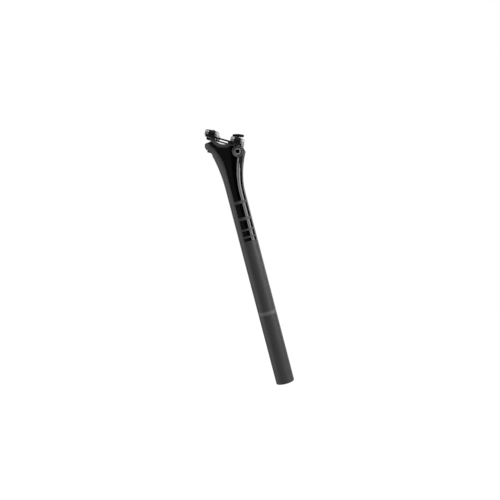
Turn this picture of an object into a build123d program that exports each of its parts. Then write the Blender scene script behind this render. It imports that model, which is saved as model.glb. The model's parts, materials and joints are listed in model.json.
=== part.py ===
"""Zero-setback bicycle seatpost with a two-screw tilting saddle clamp.

Frame: +Z up along the tube, +X towards the front of the bicycle, origin at the
centre of the tube's lower end. All sizes are millimetres and degrees.
"""
import os
from math import copysign, cos, pi, radians, tan

from build123d import *

# Post tube
tube_d = 27.2
tube_wall = 2.3
tube_end_round = 0.8
tilt_axis_height = 378.0
tilt_axis_forward = 6.0

# Head outline, as drops below the tilt axis and rates of sweep
front_sweep_drop = 92.0
front_sweep_rate = 107.0
rear_sweep_drop = 80.0
rear_sweep_rate = 213.0
lip_bulge = 3.3
lip_bulge_drop = 16.5
lip_bulge_reach = 13.0
front_reach = 29.0
head_half_width = 14.8
head_top_round = 0.7
lip_drop = 8.7
lip_round = 2.4
nose_drop = 35.8
land_drop = 27.4
land_reach = 25.7
land_slope = 17.0
head_lead_in = 6.8
head_sections = 14

# Rocker joint between the head and the lower cradle
rocker_r = 23.2
rocker_wall = 4.7
rocker_width = 24.0
seat_gap = 0.25

# Saddle rails
rail_d = 7.0
rail_spacing = 44.0
rail_slope = 30.0
rail_drop = 9.5
rail_clearance = 0.05

# Lower cradle
trough_width = 9.0
trough_floor = 1.9
trough_relief = 1.2
trough_lip = 0.9
trough_rear_reach = 23.8
trough_front_reach = 29.3
trough_corner_r = 2.0
bridge_length = 7.4
bridge_away = 13.2
bridge_corner_r = 2.0

# Crossbars and rail shoes
front_bar_ahead = 22.0
rear_bar_behind = 15.2
bar_length = 9.4
bar_strap = 1.0
bar_rise = 5.0
bar_sink = 2.3
bar_edge_round = 0.7
shoe_length = 22.8
shoe_wall = 0.65
shoe_knob_wall = 1.65
shoe_clearance = 0.1
shoe_lip_gap = 0.3

# Screws and the parts on them, with slots in the clamp that let them swing
screw_d = 5.0
slot_side_gap = 0.5
bar_slot_back = 1.6
cradle_slot_back = 1.9
slot_ahead = 1.2
thread_gap = 0.08
eye_ahead = 11.1
eye_drop = 32.4
eye_boss_r = 7.7
eye_boss_half_width = 12.6
barrel_r = 5.3
barrel_gap = 0.05
barrel_chamfer = 0.5
barrel_tool_hole_r = 2.8
barrel_tool_hole_depth = 7.5
front_screw_tail = 8.5
head_hole_gap = 1.1
front_screw_room = 3.0
washer_r = 3.6
washer_width = 9.0
washer_gap = 0.3
washer_seat_rise = 4.0
washer_shoulder = 0.6
collar_r = 3.5
collar_height = 4.5
wheel_gap = 0.2
wheel_r = 8.3
wheel_height = 3.0
wheel_scallops = 14
wheel_scallop_r = 1.25
wheel_edge_chamfer = 0.4
screw_button_r = 3.6
screw_button_rise = 0.7
press_gap = 0.03
hex_r = 2.3
hex_depth = 2.6

# Rear screw
rear_pivot_out = 5.6
rear_pivot_drop = 17.1
rear_washer_r = 4.3
rear_washer_width = 8.2
rear_washer_seat_depth = 2.4
rear_head_r = 4.0
rear_head_height = 4.4
rear_head_chamfer = 0.5
pocket_depth = 14.0
lip_hole_gap = 0.8
nut_r = 3.8
nut_width = 10.0
nut_gap = 0.05
nut_seat_rise = 4.0
nut_top = 2.2
nut_thread_gap = 0.35
rear_screw_tip = 4.5
tip_chamfer = 0.6

# Worked out from the sizes above
tube_r = tube_d / 2
bore_r = tube_r - tube_wall
rail_r = rail_d / 2
rail_y = rail_spacing / 2
groove_r = rail_r + rail_clearance
screw_r = screw_d / 2
seat_r = rocker_r + seat_gap
shoe_notch_r = groove_r + shoe_wall
shoe_knob_r = groove_r + shoe_knob_wall
strap_r = shoe_notch_r + shoe_clearance + bar_strap
flare_start = tilt_axis_height - front_sweep_drop
straight_end = flare_start - head_lead_in
lip_top = tilt_axis_height - lip_drop
through = 4 * head_half_width
tilt_axis = Vector(tilt_axis_forward, 0, tilt_axis_height)
eye = tilt_axis + Vector(eye_ahead, 0, -eye_drop)
rear_pivot = Vector(-tube_r - rear_pivot_out, 0, tilt_axis_height - rear_pivot_drop)

# Rail frame: X along the rails towards the front, Z square to them, origin on the rail axis
rail_frame = Pos(tilt_axis) * Rot(0, rail_slope, 0) * Pos(0, 0, -rail_drop)
front_seat = (rail_frame * Pos(front_bar_ahead, 0, washer_seat_rise)).position
rear_seat = (rail_frame * Pos(-rear_bar_behind, 0, nut_seat_rise)).position


def screw_frame(start, end):
    """Frame with its Z along a screw and its X across the bicycle."""
    return Plane(origin=start, x_dir=(0, 1, 0), z_dir=(end - start).normalized())


front_frame = screw_frame(eye, front_seat)
rear_frame = screw_frame(rear_pivot, rear_seat)
front_seat_at = (front_seat - eye).length
rear_seat_at = (rear_seat - rear_pivot).length
wheel_base_at = front_seat_at + collar_height + wheel_gap


def rod(radius, low, high):
    """Upright cylinder between two heights."""
    return Pos(0, 0, low) * Cylinder(radius, high - low, align=(Align.CENTER, Align.CENTER, Align.MIN))


def cross_rod(radius, length):
    """Cylinder along the screw frame's X, which runs across the bicycle."""
    return Rot(0, 90, 0) * Cylinder(radius, length)


def side_rod(radius, length):
    """Cylinder along Y, centred on the origin."""
    return Rot(90, 0, 0) * Cylinder(radius, length)


def slab(size_x, size_y, low, high):
    """Box centred in X and Y between two heights."""
    return Pos(0, 0, low) * Box(size_x, size_y, high - low, align=(Align.CENTER, Align.CENTER, Align.MIN))


def swing_slot(back, low, high):
    """Slot round a screw, with room for it to swing back and a little ahead."""
    width = screw_d + 2 * slot_side_gap
    slot = Rot(0, 0, 90) * SlotOverall(screw_d + back + slot_ahead, width)
    return Pos(0, (back - slot_ahead) / 2, low) * extrude(slot, high - low)


def hex_socket(radius, depth):
    """Hexagonal recess cutter that opens upwards at height zero."""
    return Pos(0, 0, -depth) * extrude(RegularPolygon(radius, 6), 2 * depth)


def front_edge(height):
    """Distance from the tube axis to the front outline at a height."""
    rise = max(0.0, height - flare_start)
    return tube_r + rise**2 / (2 * front_sweep_rate)


def rear_edge(height):
    """Distance from the tube axis to the rear outline at a height."""
    rise = max(0.0, height - tilt_axis_height + rear_sweep_drop)
    off_lip = min(1.0, abs(height - tilt_axis_height + lip_bulge_drop) / lip_bulge_reach)
    return tube_r + rise**2 / (2 * rear_sweep_rate) + lip_bulge * (1 + cos(pi * off_lip)) / 2


def head_section(height):
    """Oval section of the head at a height."""
    front = front_edge(height)
    rear = rear_edge(height)
    share = max(0.0, height - flare_start) / front_sweep_drop
    half_width = tube_r + (head_half_width - tube_r) * share
    return Pos((front - rear) / 2, 0, height) * Ellipse((front + rear) / 2, half_width)


def head_trim():
    """Side view of what the head keeps: lip top, front land and nose."""
    land_z = tilt_axis_height - land_drop
    land_start_z = land_z + (land_reach - tilt_axis_forward) * tan(radians(land_slope))
    nose_z = tilt_axis_height - nose_drop
    far = tilt_axis_height
    points = [
        (-far, 0),
        (-far, lip_top),
        (tilt_axis_forward, lip_top),
        (tilt_axis_forward, land_start_z),
        (land_reach, land_z),
        (front_reach, nose_z),
        (far, nose_z),
        (far, 0),
    ]
    return extrude(Plane.XZ * make_face(Polyline(*points, close=True)), through, both=True)


def post_body():
    step = (front_sweep_drop - lip_drop + lip_round) / head_sections
    heights = [straight_end] + [flare_start + step * i for i in range(head_sections + 1)]
    tube = rod(tube_r, 0, straight_end)
    head = loft([head_section(height) for height in heights])
    head &= head_trim()
    head -= Pos(tilt_axis) * side_rod(seat_r, through)
    lip_face = head.faces().filter_by(Plane.XY).sort_by(Axis.Z)[-1]
    head = fillet(lip_face.edges().filter_by(GeomType.LINE, reverse=True), lip_round)
    seat_face = head.faces().filter_by(GeomType.CYLINDER).sort_by(Axis.Z)[-1]
    head = fillet(seat_face.edges().filter_by(GeomType.LINE, reverse=True), head_top_round)
    body = tube + head
    body += Pos(eye) * side_rod(eye_boss_r, 2 * eye_boss_half_width)
    body -= rod(bore_r, 0, flare_start) + Pos(0, 0, flare_start) * Sphere(bore_r)
    # Cross bore for the barrel nut, with room for the screw that swings in it
    body -= Pos(eye) * side_rod(barrel_r + barrel_gap, through)
    body -= front_frame * rod(screw_r + head_hole_gap, -front_screw_tail - front_screw_room, front_seat_at)
    # Rear lip: round washer seat, open pocket below it and the screw hole above
    pocket_r = rear_washer_r + washer_gap
    pocket_width = rear_washer_width + 2 * washer_gap
    body -= rear_frame * cross_rod(pocket_r, pocket_width)
    body -= rear_frame * slab(pocket_width, 2 * pocket_r, -pocket_depth, 0)
    body -= rear_frame * rod(screw_r + lip_hole_gap, 0, rear_seat_at)
    lower_rims = body.edges().filter_by(GeomType.CIRCLE).group_by(Axis.Z)[0]
    return fillet(lower_rims, tube_end_round)


def lower_cradle():
    floor = -groove_r - trough_floor
    lip = -groove_r + trough_lip
    length = trough_rear_reach + trough_front_reach
    middle = (trough_front_reach - trough_rear_reach) / 2
    inner_width = rail_spacing - trough_width
    plan = Pos(middle, 0) * RectangleRounded(length, rail_spacing + trough_width, trough_corner_r)
    # Open between the troughs behind, between and ahead of the two bridges
    bridge_start = bridge_away - bridge_length / 2
    bridge_end = bridge_away + bridge_length / 2
    windows = [(-length, -bridge_end), (-bridge_start, bridge_start), (bridge_end, length)]
    for start, end in windows:
        plan -= Pos((start + end) / 2, 0) * RectangleRounded(end - start, inner_width, bridge_corner_r)
    plate = Pos(0, 0, floor) * extrude(plan, lip - floor)
    # Thinner troughs between the bridges
    plate -= slab(2 * bridge_start, 2 * rail_spacing, floor, floor + trough_relief)
    ring = Pos(0, 0, rail_drop) * (
        side_rod(rocker_r, rocker_width) - side_rod(rocker_r - rocker_wall, rocker_width)
    )
    ring -= slab(4 * rocker_r, 2 * rocker_width, lip, rail_drop + 2 * rocker_r)
    cradle = plate + ring
    for side in (-1, 1):
        cradle -= Pos(middle, side * rail_y, 0) * Rot(0, 90, 0) * Cylinder(groove_r, 2 * length)
    cradle = rail_frame * cradle
    cradle -= front_frame * swing_slot(cradle_slot_back, 0, front_seat_at)
    cradle -= rear_frame * swing_slot(cradle_slot_back, 0, rear_seat_at)
    return cradle


def arch_profile(radius, sink):
    """Upside-down U over a rail, with its round top on the rail axis."""
    top = Circle(radius) - Pos(0, -radius) * Rectangle(2 * radius, 2 * radius)
    return top + Pos(0, -sink / 2) * Rectangle(2 * radius, sink)


def along_rail(profile, length):
    """Extrude a profile drawn across the rails to a length along them."""
    return extrude(Plane.YZ * profile, length / 2, both=True)


def shoe(along, trough_end, side):
    """Round-ended cap on a rail, with an outboard skirt that hooks over the trough's end."""
    straight = shoe_length - 2 * shoe_knob_r
    dome = along_rail(Circle(shoe_knob_r), straight)
    for end in (-1, 1):
        dome += Pos(end * straight / 2, 0, 0) * Sphere(shoe_knob_r)
    outline = SlotOverall(shoe_length, 2 * shoe_knob_r)
    skirt = extrude(outline, -shoe_knob_r) & extrude(Plane.XZ * outline, shoe_knob_r, both=True)
    body = dome - slab(2 * shoe_length, 4 * shoe_knob_r, -2 * shoe_knob_r, 0) + skirt
    body -= along_rail(arch_profile(groove_r, 2 * shoe_knob_r), 2 * shoe_length)
    # Notch that the crossbar's strap sits in
    beside = Rectangle(4 * shoe_knob_r, 4 * shoe_knob_r) - arch_profile(shoe_notch_r, 2 * shoe_knob_r)
    body -= along_rail(beside, bar_length + 2 * shoe_clearance)
    # Room over the trough's lip, and the whole inboard side
    lip = -groove_r + trough_lip + shoe_lip_gap
    reach = trough_end - along
    room_end = reach + copysign(shoe_lip_gap, reach) - copysign(shoe_length, reach)
    body -= Pos(room_end, 0, 0) * slab(2 * shoe_length, 4 * shoe_knob_r, -2 * shoe_knob_r, lip)
    body -= Pos(0, -side * shoe_knob_r, 0) * slab(2 * shoe_length, 2 * shoe_knob_r, -2 * shoe_knob_r, lip)
    return rail_frame * Pos(along, side * rail_y, 0) * body


def crossbar_blank():
    """Bar across both rails whose ends reach over the shoes."""
    profile = Pos(0, (bar_rise - bar_sink) / 2) * Rectangle(rail_spacing, bar_rise + bar_sink)
    for side in (-1, 1):
        profile += Pos(side * rail_y, 0) * arch_profile(strap_r, bar_sink)
    blank = along_rail(profile, bar_length)
    ends = blank.faces().sort_by(Axis.X)
    blank = fillet(ends[0].edges() + ends[-1].edges(), bar_edge_round)
    for side in (-1, 1):
        shoe_room = arch_profile(shoe_notch_r + shoe_clearance, 4 * strap_r)
        blank -= Pos(0, side * rail_y, 0) * along_rail(shoe_room, 2 * bar_length)
    return blank


def front_crossbar():
    bar = rail_frame * Pos(front_bar_ahead, 0, 0) * crossbar_blank()
    seat = cross_rod(washer_r + washer_gap, washer_width + 2 * washer_gap)
    seat += slab(washer_width + 2 * washer_gap, 2 * (washer_r + washer_gap), 0, collar_height)
    bar -= front_frame * Pos(0, 0, front_seat_at) * seat
    return bar - front_frame * swing_slot(bar_slot_back, 0, front_seat_at)


def rear_crossbar():
    bar = rail_frame * Pos(-rear_bar_behind, 0, 0) * crossbar_blank()
    seat = cross_rod(nut_r + nut_gap, nut_width + 2 * washer_gap)
    seat += slab(nut_width + 2 * washer_gap, 2 * (nut_r + nut_gap), 0, collar_height)
    bar -= rear_frame * Pos(0, 0, rear_seat_at) * seat
    return bar - rear_frame * swing_slot(bar_slot_back, 0, rear_seat_at)


def front_barrel_nut():
    barrel = cross_rod(barrel_r, 2 * eye_boss_half_width)
    barrel = chamfer(barrel.edges().filter_by(GeomType.CIRCLE), barrel_chamfer)
    for side in (-1, 1):
        hole_at = side * (eye_boss_half_width - barrel_tool_hole_depth / 2)
        barrel -= Pos(hole_at, 0, 0) * cross_rod(barrel_tool_hole_r, barrel_tool_hole_depth)
    barrel -= rod(screw_r + thread_gap, -2 * barrel_r, 2 * barrel_r)
    return front_frame * barrel


def front_screw():
    top = wheel_base_at + wheel_height + screw_button_rise
    shank = rod(screw_r, -front_screw_tail, top)
    shank = chamfer(shank.edges().group_by(Axis.Z)[0], tip_chamfer)
    button = rod(screw_button_r - press_gap, wheel_base_at, top)
    button = fillet(button.edges().group_by(Axis.Z)[-1], screw_button_rise / 2)
    return front_frame * (shank + button - Pos(0, 0, top) * hex_socket(hex_r, hex_depth))


def thumb_wheel():
    wheel = rod(wheel_r, 0, wheel_height)
    wheel = chamfer(wheel.edges().filter_by(GeomType.CIRCLE), wheel_edge_chamfer)
    for scallop in PolarLocations(wheel_r + wheel_scallop_r / 2, wheel_scallops):
        wheel -= scallop * rod(wheel_scallop_r, -wheel_height, 2 * wheel_height)
    wheel -= rod(screw_button_r, -wheel_height, 2 * wheel_height)
    return front_frame * Pos(0, 0, wheel_base_at) * wheel


def front_washer():
    washer = cross_rod(washer_r, washer_width)
    washer -= slab(2 * washer_width, 4 * washer_r, washer_shoulder, 2 * washer_r)
    washer += rod(collar_r, 0, collar_height)
    washer -= rod(screw_r + thread_gap, -2 * washer_r, 2 * collar_height)
    return front_frame * Pos(0, 0, front_seat_at) * washer


def rear_washer():
    washer = cross_rod(rear_washer_r, rear_washer_width)
    washer -= slab(2 * rear_washer_width, 4 * rear_washer_r, -2 * rear_washer_r, -rear_washer_seat_depth)
    washer -= rod(screw_r + thread_gap, -2 * rear_washer_r, 2 * rear_washer_r)
    return rear_frame * washer


def rear_screw():
    base = -rear_washer_seat_depth - rear_head_height
    shank = rod(screw_r, -rear_washer_seat_depth, rear_seat_at + rear_screw_tip)
    shank = chamfer(shank.edges().group_by(Axis.Z)[-1], tip_chamfer)
    head = rod(rear_head_r, base, -rear_washer_seat_depth)
    head = chamfer(head.edges().group_by(Axis.Z)[0], rear_head_chamfer)
    return rear_frame * (shank + head - Pos(0, 0, base) * hex_socket(hex_r, hex_depth))


def rear_nut():
    nut = cross_rod(nut_r, nut_width)
    nut -= slab(2 * nut_width, 4 * nut_r, nut_top, 2 * nut_r)
    nut -= rod(screw_r + nut_thread_gap, -2 * nut_r, 2 * nut_r)
    return rear_frame * Pos(0, 0, rear_seat_at) * nut


nodes = {
    "post_body": post_body(),
    "lower_cradle": lower_cradle(),
    "front_crossbar": front_crossbar(),
    "rear_crossbar": rear_crossbar(),
    "front_left_shoe": shoe(front_bar_ahead, trough_front_reach, 1),
    "front_right_shoe": shoe(front_bar_ahead, trough_front_reach, -1),
    "rear_left_shoe": shoe(-rear_bar_behind, -trough_rear_reach, 1),
    "rear_right_shoe": shoe(-rear_bar_behind, -trough_rear_reach, -1),
    "front_barrel_nut": front_barrel_nut(),
    "front_screw": front_screw(),
    "thumb_wheel": thumb_wheel(),
    "front_washer": front_washer(),
    "rear_screw": rear_screw(),
    "rear_washer": rear_washer(),
    "rear_nut": rear_nut(),
}

os.makedirs("parts", exist_ok=True)
for name, solid in nodes.items():
    export_step(solid, f"parts/{name}.step")
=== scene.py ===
"""Looks of the bicycle seatpost: finishes, threads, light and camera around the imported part."""
import json
from math import cos, pi, radians, sin

import bmesh
import bpy
from mathutils import Matrix, Vector


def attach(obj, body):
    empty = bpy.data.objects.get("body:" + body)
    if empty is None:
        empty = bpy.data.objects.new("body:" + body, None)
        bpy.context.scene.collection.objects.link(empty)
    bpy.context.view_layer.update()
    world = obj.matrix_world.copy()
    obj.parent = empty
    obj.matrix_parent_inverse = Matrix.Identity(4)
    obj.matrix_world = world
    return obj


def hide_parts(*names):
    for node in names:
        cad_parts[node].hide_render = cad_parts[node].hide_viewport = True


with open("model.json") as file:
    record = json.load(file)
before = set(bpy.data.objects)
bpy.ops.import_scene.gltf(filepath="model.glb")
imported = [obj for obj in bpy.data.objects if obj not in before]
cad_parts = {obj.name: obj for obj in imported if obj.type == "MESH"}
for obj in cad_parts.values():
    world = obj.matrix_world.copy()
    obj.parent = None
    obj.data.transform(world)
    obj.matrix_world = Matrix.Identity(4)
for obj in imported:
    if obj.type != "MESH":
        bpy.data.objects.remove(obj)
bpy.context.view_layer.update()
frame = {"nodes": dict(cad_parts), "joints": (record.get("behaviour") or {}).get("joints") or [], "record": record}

nodes = frame["nodes"]
joints = {joint["name"]: joint for joint in frame["joints"]}
MM = 0.001

# Pivots and screw axes of the clamp
eye = Vector(joints["front_nut_swing"]["pos_m"])
front_axis = Vector(joints["thumb_wheel_turn"]["axis"])
rear_pivot = Vector(joints["rear_screw_swing"]["pos_m"])
rear_axis = Vector(joints["rear_nut_turn"]["pos_m"]) - rear_pivot

# Camera, fitted to the post's outline in the photograph
photo_pixels = 500
metres_per_pixel = 1.467 * MM
sensor_mm = 36.0
camera_distance = 0.95
camera_height = 0.262
aim = Vector((-0.0013, 0.0, 0.2031))
lean = radians(14.65)

# Floor, below the post
floor_height = -0.30
floor_size = 6.0
floor_tone = 0.5
floor_glow_share = 0.85
floor_white = 0.992

# Distance of every light panel from the aim
light_distance = 1.3

# World light, and what reflections see of it by direction
ambient_tone = 0.35
backdrop_start = 0.55
backdrop_full = 0.9
rear_side_start = 0.14
rear_side_full = -0.02
front_side_glow = 0.006
rear_side_glow = 0.09

# Painted areas, in millimetres of the part's frame
panel_rear = -5.9
panel_rear_from = 325.0
panel_rear_rate = 0.00827
panel_front = 12.6
panel_front_from = 286.0
panel_front_rate = 0.00375
panel_bottom = 276.4
gloss_blocks = [(251.9, 271.9), (234.8, 247.6), (224.1, 231.9), (216.6, 221.3)]
insertion_ring = (105.3, 110.4)
# Round the eye: painted shade of the recess out to the inner radius, then a painted highlight on the boss's rim
# out to the outer radius
eye_highlight_r = 7.75
eye_shade_r = 6.4
# Radius of the painted shade inside the barrel nut's tool hole
tool_hole_r = 3.0
rocker_half_width = 12.2
paint_edge = 0.12

# Finish of the composite
satin_tones = (0.028, 0.038)
satin_roughness = (0.46, 0.52)
satin_relief = 0.25
satin_grain_depth = 0.02 * MM
fibre_stretch = (3.0, 3.0, 0.12)
ring_tone = 0.105
# Tone of the painted highlight on the rim round the eye
eye_rim_highlight_tone = 0.095
# Gloss black of the panels, also used as the painted shade in the recess round the eye
gloss_and_eye_shade_tone = 0.001
gloss_roughness = 0.06
lacquer_ior = 1.6
even_out_r = 2.5 * MM
even_out_samples = 16

# Finish of the metals
metal_relief = 0.15
metal_grain_depth = 0.01 * MM
polish_spread = 0.1
nut_tones = (0.36, 0.41)
nut_roughness = 0.5
nut_metallic = 0.5
# Painted shade inside the barrel nut's tool hole
tool_hole_shade_tone = 0.003
tool_hole_shade_roughness = 0.8
rocker_tones = (0.105, 0.120)
rocker_roughness = (0.42, 0.5)
trough_tone = 0.008
trough_roughness = 0.42
cradle_specular = 0.3

# The middle range of a noise, which is spread over the values wanted
noise_low = 0.3
noise_high = 0.7

# Screws and their cut thread
screw_r = 2.5 * MM
thread_pitch = 0.8 * MM
thread_depth = 0.36 * MM
thread_runout = 1.0 * MM
thread_sides = 48
thread_rows_per_turn = 8
shank_tolerance = 0.02 * MM
shank_slope = 0.1
weld_distance = 0.002 * MM
sharp_angle = radians(35)


class Graph:
    """Short forms for building the nodes of one material or world."""

    def __init__(self, owner, empty=False):
        owner.use_nodes = True
        self.owner = owner
        self.tree = owner.node_tree
        if empty:
            self.tree.nodes.clear()
        self.shader = self.tree.nodes.get("Principled BSDF")

    def add(self, kind):
        return self.tree.nodes.new(kind)

    def put(self, socket, value):
        """Link a socket to another node, or set it to a constant."""
        if isinstance(value, bpy.types.NodeSocket):
            self.tree.links.new(value, socket)
        else:
            socket.default_value = value

    def math(self, operation, first, second=0.0):
        node = self.add("ShaderNodeMath")
        node.operation = operation
        self.put(node.inputs[0], first)
        self.put(node.inputs[1], second)
        return node.outputs[0]

    def map_range(self, value, start, end, low, high, smooth):
        node = self.add("ShaderNodeMapRange")
        node.interpolation_type = "SMOOTHSTEP" if smooth else "LINEAR"
        self.put(node.inputs["Value"], value)
        node.inputs["From Min"].default_value = start
        node.inputs["From Max"].default_value = end
        node.inputs["To Min"].default_value = low
        node.inputs["To Max"].default_value = high
        return node.outputs["Result"]

    def ramp(self, value, start, end, low=0.0, high=1.0):
        """A soft change from low to high as the value goes from start to end."""
        return self.map_range(value, start, end, low, high, smooth=True)

    def spread(self, noise, low=0.0, high=1.0):
        """A noise spread over a range."""
        return self.map_range(noise, noise_low, noise_high, low, high, smooth=False)

    def above(self, value, edge):
        """One where the value is over the edge, zero under it, with the soft edge of paint."""
        return self.ramp(self.math("SUBTRACT", value, edge), -paint_edge, paint_edge)

    def between(self, value, low, high):
        return self.math("MULTIPLY", self.above(value, low), self.above(high, value))

    def squared_past(self, value, start):
        """The square of how far a value is past a start, and zero before it."""
        past = self.math("MAXIMUM", self.math("SUBTRACT", value, start), 0.0)
        return self.math("POWER", past, 2.0)

    def point(self):
        """The surface point in millimetres of the part's frame."""
        scale = self.add("ShaderNodeVectorMath")
        scale.operation = "SCALE"
        self.put(scale.inputs[0], self.add("ShaderNodeTexCoord").outputs["Object"])
        scale.inputs["Scale"].default_value = 1 / MM
        return scale.outputs[0]

    def axes(self, vector):
        """The X, Y and Z of a vector, by name."""
        split = self.add("ShaderNodeSeparateXYZ")
        self.put(split.inputs[0], vector)
        return split.outputs

    def far_from_eye(self, x, z):
        """Distance from the axis of the eye, in millimetres."""
        ahead = self.math("SUBTRACT", x, eye.x / MM)
        up = self.math("SUBTRACT", z, eye.z / MM)
        squares = self.math("ADD", self.math("POWER", ahead, 2.0), self.math("POWER", up, 2.0))
        return self.math("SQRT", squares)

    def stretched(self, vector, factors):
        node = self.add("ShaderNodeVectorMath")
        node.operation = "MULTIPLY"
        self.put(node.inputs[0], vector)
        node.inputs[1].default_value = factors
        return node.outputs[0]

    def noise(self, vector, scale, detail):
        node = self.add("ShaderNodeTexNoise")
        self.put(node.inputs["Vector"], vector)
        node.inputs["Scale"].default_value = scale
        node.inputs["Detail"].default_value = detail
        return node.outputs["Fac"]

    def mix(self, kind, factor, first, second):
        node = self.add("ShaderNodeMix")
        node.data_type = "RGBA" if kind == "Color" else "FLOAT"
        inputs = {socket.identifier: socket for socket in node.inputs}
        outputs = {socket.identifier: socket for socket in node.outputs}
        self.put(inputs["Factor_Float"], factor)
        self.put(inputs["A_" + kind], first)
        self.put(inputs["B_" + kind], second)
        return outputs["Result_" + kind]

    def mix_colours(self, factor, first, second):
        return self.mix("Color", factor, first, second)

    def mix_numbers(self, factor, first, second):
        return self.mix("Float", factor, first, second)

    def mix_shaders(self, factor, first, second):
        node = self.add("ShaderNodeMixShader")
        self.put(node.inputs[0], factor)
        self.put(node.inputs[1], first)
        self.put(node.inputs[2], second)
        return node.outputs[0]

    def bump(self, height, strength, distance, smooth_r=0.0):
        """Relief, on a normal that is evened out over a radius if one is given."""
        node = self.add("ShaderNodeBump")
        if smooth_r:
            smooth = self.add("ShaderNodeBevel")
            smooth.samples = even_out_samples
            smooth.inputs["Radius"].default_value = smooth_r
            self.put(node.inputs["Normal"], smooth.outputs[0])
        node.inputs["Distance"].default_value = distance
        self.put(node.inputs["Strength"], strength)
        self.put(node.inputs["Height"], height)
        self.put(self.shader.inputs["Normal"], node.outputs[0])


def grey(level, tint=0.0):
    """A grey, warm with a tint over zero and cool with one under it."""
    return (level * (1 + tint), level, level * (1 - tint), 1.0)


def composite():
    """Satin composite with gloss panels and blocks, a pale insertion ring, and round the eye a painted shade in
    the recess inside a painted highlight on the boss's rim.
    """
    g = Graph(bpy.data.materials.new("composite"))
    point = g.point()
    axes = g.axes(point)
    x = axes["X"]
    z = axes["Z"]

    rear_curve = g.math("MULTIPLY", g.squared_past(z, panel_rear_from), panel_rear_rate)
    front_curve = g.math("MULTIPLY", g.squared_past(z, panel_front_from), panel_front_rate)
    ahead_of_rear = g.above(x, g.math("SUBTRACT", panel_rear, rear_curve))
    behind_front = g.above(g.math("ADD", panel_front, front_curve), x)
    across = g.math("MULTIPLY", ahead_of_rear, behind_front)
    along = g.above(z, panel_bottom)
    for low, high in gloss_blocks:
        along = g.math("MAXIMUM", along, g.between(z, low, high))
    far = g.far_from_eye(x, z)
    off_eye = g.above(far, eye_highlight_r)
    gloss = g.math("MULTIPLY", g.math("MULTIPLY", across, along), off_eye)

    fibres = g.noise(g.stretched(point, fibre_stretch), scale=1.0, detail=4.0)
    grain = g.noise(point, scale=4.0, detail=3.0)
    ring = g.between(z, *insertion_ring)
    satin = g.mix_colours(g.spread(fibres), grey(satin_tones[0]), grey(satin_tones[1]))
    satin = g.mix_colours(ring, satin, grey(ring_tone))
    # Round the eye: painted shade in the recess, near black, then a painted highlight on the boss's rim
    eye_shade_and_highlight = g.mix_colours(g.above(far, eye_shade_r), grey(gloss_and_eye_shade_tone), grey(eye_rim_highlight_tone))
    satin = g.mix_colours(off_eye, eye_shade_and_highlight, satin)
    roughness = g.mix_numbers(gloss, g.spread(grain, *satin_roughness), gloss_roughness)
    g.put(g.shader.inputs["Base Color"], g.mix_colours(gloss, satin, grey(gloss_and_eye_shade_tone)))
    g.put(g.shader.inputs["Roughness"], roughness)
    g.shader.inputs["IOR"].default_value = lacquer_ior
    g.bump(grain, g.mix_numbers(gloss, satin_relief, 0.0), satin_grain_depth, even_out_r)
    return g.owner


def plain_metal(name, base, variation, roughness, metallic, tint=0.0, specular=0.5):
    """Metal with a fine tumbled grain and slight unevenness of colour and polish."""
    g = Graph(bpy.data.materials.new(name))
    point = g.point()
    cloud = g.noise(point, scale=0.35, detail=3.0)
    grain = g.noise(point, scale=6.0, detail=2.0)
    dark = grey(base * (1 - variation), tint)
    pale = grey(base * (1 + variation), tint)
    polish = g.spread(grain, roughness * (1 - polish_spread), roughness * (1 + polish_spread))
    g.put(g.shader.inputs["Base Color"], g.mix_colours(g.spread(cloud), dark, pale))
    g.put(g.shader.inputs["Roughness"], polish)
    g.shader.inputs["Metallic"].default_value = metallic
    g.shader.inputs["Specular IOR Level"].default_value = specular
    g.bump(grain, metal_relief, metal_grain_depth)
    return g.owner


def nut_alloy():
    """Turned grey alloy, with painted shade inside the barrel nut's tool holes: black, rough and not metallic."""
    g = Graph(bpy.data.materials.new("nut_alloy"))
    axes = g.axes(g.point())
    far = g.far_from_eye(axes["X"], axes["Z"])
    # Painted shade inside the tool hole: black, rough and not metallic
    hole_shade = g.above(tool_hole_r, far)
    rings = g.noise(far, scale=9.0, detail=2.0)
    face = g.mix_colours(g.spread(rings), grey(nut_tones[0]), grey(nut_tones[1]))
    metallic = g.math("MULTIPLY", g.math("SUBTRACT", 1.0, hole_shade), nut_metallic)
    g.put(g.shader.inputs["Base Color"], g.mix_colours(hole_shade, face, grey(tool_hole_shade_tone)))
    g.put(g.shader.inputs["Roughness"], g.mix_numbers(hole_shade, nut_roughness, tool_hole_shade_roughness))
    g.put(g.shader.inputs["Metallic"], metallic)
    return g.owner


def cradle_alloy():
    """Satin grey on the rocker and black on the rail troughs either side of it."""
    g = Graph(bpy.data.materials.new("cradle_alloy"))
    point = g.point()
    outside = g.above(g.math("ABSOLUTE", g.axes(point)["Y"]), rocker_half_width)
    grain = g.noise(point, scale=5.0, detail=2.0)
    satin = g.mix_colours(g.spread(grain), grey(rocker_tones[0]), grey(rocker_tones[1]))
    roughness = g.mix_numbers(outside, g.spread(grain, *rocker_roughness), trough_roughness)
    g.put(g.shader.inputs["Base Color"], g.mix_colours(outside, satin, grey(trough_tone)))
    g.put(g.shader.inputs["Roughness"], roughness)
    g.shader.inputs["Specular IOR Level"].default_value = cradle_specular
    g.bump(grain, metal_relief, metal_grain_depth)
    return g.owner


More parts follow.
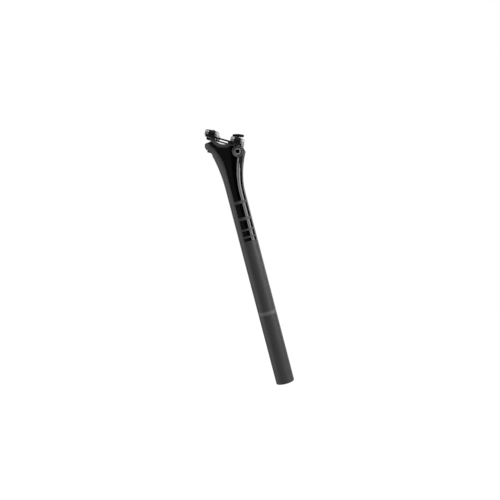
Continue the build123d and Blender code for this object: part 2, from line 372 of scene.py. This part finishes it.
# Materials by slot
materials = {
    "composite": composite(),
    "cradle_alloy": cradle_alloy(),
    "black_alloy": plain_metal(
        "black_alloy", base=0.005, variation=0.15, roughness=0.42, metallic=0.0, specular=0.15),
    "bright_alloy": plain_metal(
        "bright_alloy", base=0.40, variation=0.05, roughness=0.50, metallic=1.0, tint=0.012),
    "grey_alloy": plain_metal(
        "grey_alloy", base=0.36, variation=0.06, roughness=0.40, metallic=1.0),
    "screw_metal": plain_metal(
        "screw_metal", base=0.50, variation=0.08, roughness=0.30, metallic=1.0, tint=0.02),
    "black_steel": plain_metal(
        "black_steel", base=0.014, variation=0.15, roughness=0.34, metallic=0.0),
}
for row in frame["record"]["subparts"]:
    node = nodes[row["node"]]
    node.data.materials.clear()
    node.data.materials.append(materials[row["material_slot"]])
nodes["front_barrel_nut"].data.materials[0] = nut_alloy()


def cut_thread(form, low, high):
    """Add a threaded shank along Z between two heights, closed at both ends."""
    rows = round((high - low) / thread_pitch * thread_rows_per_turn)
    rings = []
    for i in range(rows + 1):
        height = low + (high - low) * i / rows
        runout = min(1.0, (height - low) / thread_runout, (high - height) / thread_runout)
        ring = []
        for j in range(thread_sides):
            angle = 2 * pi * j / thread_sides
            phase = (height / thread_pitch - j / thread_sides) % 1.0
            radius = screw_r - thread_depth * runout * (1 - abs(2 * phase - 1))
            ring.append(form.verts.new((radius * cos(angle), radius * sin(angle), height)))
        rings.append(ring)
    for lower, upper in zip(rings, rings[1:]):
        for j in range(thread_sides):
            k = (j + 1) % thread_sides
            form.faces.new((lower[j], lower[k], upper[k], upper[j]))
    form.faces.new(list(reversed(rings[0])))
    form.faces.new(rings[-1])


def on_shank(face):
    """Whether a face is part of the screw's plain cylinder, with the screw along Z."""
    upright = abs(face.normal.z) < shank_slope
    return upright and all(abs(v.co.xy.length - screw_r) < shank_tolerance for v in face.verts)


def threaded_screw(name, node_name, origin, axis, body, slot, head_slot):
    """The screw of a CAD node with a cut thread on its shank."""
    turn = Vector((0, 0, 1)).rotation_difference(axis).to_matrix().to_4x4()
    to_screw = (Matrix.Translation(origin) @ turn).inverted()
    form = bmesh.new()
    form.from_mesh(nodes[node_name].data)
    form.transform(to_screw)
    bmesh.ops.remove_doubles(form, verts=form.verts, dist=weld_distance)
    shank = [face for face in form.faces if on_shank(face)]
    heights = [v.co.z for face in shank for v in face.verts]
    bmesh.ops.delete(form, geom=shank, context="FACES")
    bmesh.ops.holes_fill(form, edges=[edge for edge in form.edges if edge.is_boundary], sides=0)
    for face in form.faces:
        face.material_index = 1
    cut_thread(form, min(heights), max(heights))
    form.transform(to_screw.inverted())
    bmesh.ops.recalc_face_normals(form, faces=form.faces)
    mesh = bpy.data.meshes.new(name)
    form.to_mesh(mesh)
    form.free()
    mesh.polygons.foreach_set("use_smooth", [True] * len(mesh.polygons))
    mesh.set_sharp_from_angle(angle=sharp_angle)
    mesh.materials.append(materials[slot])
    mesh.materials.append(materials[head_slot])
    piece = bpy.data.objects.new(name, mesh)
    bpy.context.scene.collection.objects.link(piece)
    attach(piece, body)
    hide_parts(node_name)


threaded_screw("front_screw_threaded", "front_screw", eye, front_axis,
               body="front_screw", slot="screw_metal", head_slot="black_alloy")
threaded_screw("rear_screw_threaded", "rear_screw", rear_pivot, rear_axis,
               body="rear_screw", slot="screw_metal", head_slot="black_steel")


def aimed(location):
    """The turn of a lamp or camera that looks from a place to the aim."""
    return (aim - location).to_track_quat("-Z", "Y")


def softbox(name, bearing, elevation, width, height, radiance):
    """Soft light facing the part, at a bearing from the camera's side round towards +X."""
    turn = radians(bearing)
    rise = radians(elevation)
    outward = Vector((sin(turn) * cos(rise), -cos(turn) * cos(rise), sin(rise)))
    lamp = bpy.data.lights.new(name, "AREA")
    lamp.shape = "RECTANGLE"
    lamp.size = width
    lamp.size_y = height
    lamp.energy = radiance * pi * width * height
    light = bpy.data.objects.new(name, lamp)
    light.location = aim + outward * light_distance
    light.rotation_mode = "QUATERNION"
    light.rotation_quaternion = aimed(light.location)
    bpy.context.scene.collection.objects.link(light)


def studio():
    """Key light in two panels from the front of the bicycle, with rim, left and top panels."""
    softbox("key_panel", bearing=74, elevation=18.5, width=0.48, height=1.25, radiance=5.2)
    softbox("key_side_panel", bearing=51, elevation=18.5, width=0.33, height=1.25, radiance=3.4)
    softbox("rim_panel", bearing=133, elevation=12, width=0.5, height=1.5, radiance=1.5)
    softbox("left_panel", bearing=-89, elevation=4, width=1.0, height=1.9, radiance=1.35)
    softbox("top_panel", bearing=10, elevation=66, width=1.2, height=0.8, radiance=2.0)


def world_light():
    """White for the camera, white behind the part for reflections, and dim studio light for the rest."""
    world = bpy.data.worlds.new("studio")
    bpy.context.scene.world = world
    g = Graph(world, empty=True)

    def background(colour, strength=1.0):
        node = g.add("ShaderNodeBackground")
        node.inputs["Color"].default_value = colour
        g.put(node.inputs["Strength"], strength)
        return node.outputs[0]

    path = g.add("ShaderNodeLightPath").outputs
    direction = g.axes(g.add("ShaderNodeTexCoord").outputs["Generated"])
    backdrop = g.ramp(direction["Y"], backdrop_start, backdrop_full)
    sides = g.ramp(direction["X"], rear_side_start, rear_side_full, front_side_glow, rear_side_glow)
    reflected = background(grey(1.0), g.math("MAXIMUM", backdrop, sides))
    mirrored = g.math("MAXIMUM", path["Is Glossy Ray"], path["Is Transmission Ray"])
    unseen = g.mix_shaders(mirrored, background(grey(ambient_tone)), reflected)
    seen = g.mix_shaders(path["Is Camera Ray"], unseen, background(grey(1.0)))
    g.put(g.add("ShaderNodeOutputWorld").inputs["Surface"], seen)


def floor_white_material():
    """Plain white for the camera with the part's soft shadow, and clear from below."""
    g = Graph(bpy.data.materials.new("floor_white"), empty=True)
    path = g.add("ShaderNodeLightPath").outputs
    glow = g.add("ShaderNodeEmission")
    glow.inputs["Strength"].default_value = floor_white / floor_glow_share
    matte = g.add("ShaderNodeBsdfDiffuse")
    matte.inputs["Color"].default_value = grey(floor_tone)
    share = g.math("MULTIPLY", path["Is Camera Ray"], floor_glow_share)
    lit = g.mix_shaders(share, matte.outputs[0], glow.outputs[0])
    underside = g.add("ShaderNodeNewGeometry").outputs["Backfacing"]
    sided = g.mix_shaders(underside, lit, g.add("ShaderNodeBsdfTransparent").outputs[0])
    g.put(g.add("ShaderNodeOutputMaterial").inputs["Surface"], sided)
    return g.owner


def floor():
    """A square floor below the part."""
    half = floor_size / 2
    corners = [(x * half, y * half, floor_height) for x, y in ((-1, -1), (1, -1), (1, 1), (-1, 1))]
    mesh = bpy.data.meshes.new("floor")
    mesh.from_pydata(corners, [], [(0, 1, 2, 3)])
    mesh.materials.append(floor_white_material())
    plane = bpy.data.objects.new("floor", mesh)
    bpy.context.scene.collection.objects.link(plane)


def camera():
    """Camera at the photograph's place, turned by the lean of the post."""
    place = Vector((aim.x, -camera_distance, camera_height))
    data = bpy.data.cameras.new("camera")
    data.sensor_width = sensor_mm
    data.lens = sensor_mm * (place - aim).length / (photo_pixels * metres_per_pixel)
    viewer = bpy.data.objects.new("camera", data)
    viewer.location = place
    viewer.rotation_mode = "QUATERNION"
    viewer.rotation_quaternion = aimed(place) @ Matrix.Rotation(-lean, 3, "Z").to_quaternion()
    bpy.context.scene.collection.objects.link(viewer)
    bpy.context.scene.camera = viewer


studio()
world_light()
floor()
camera()
bpy.context.scene.view_settings.view_transform = "Standard"
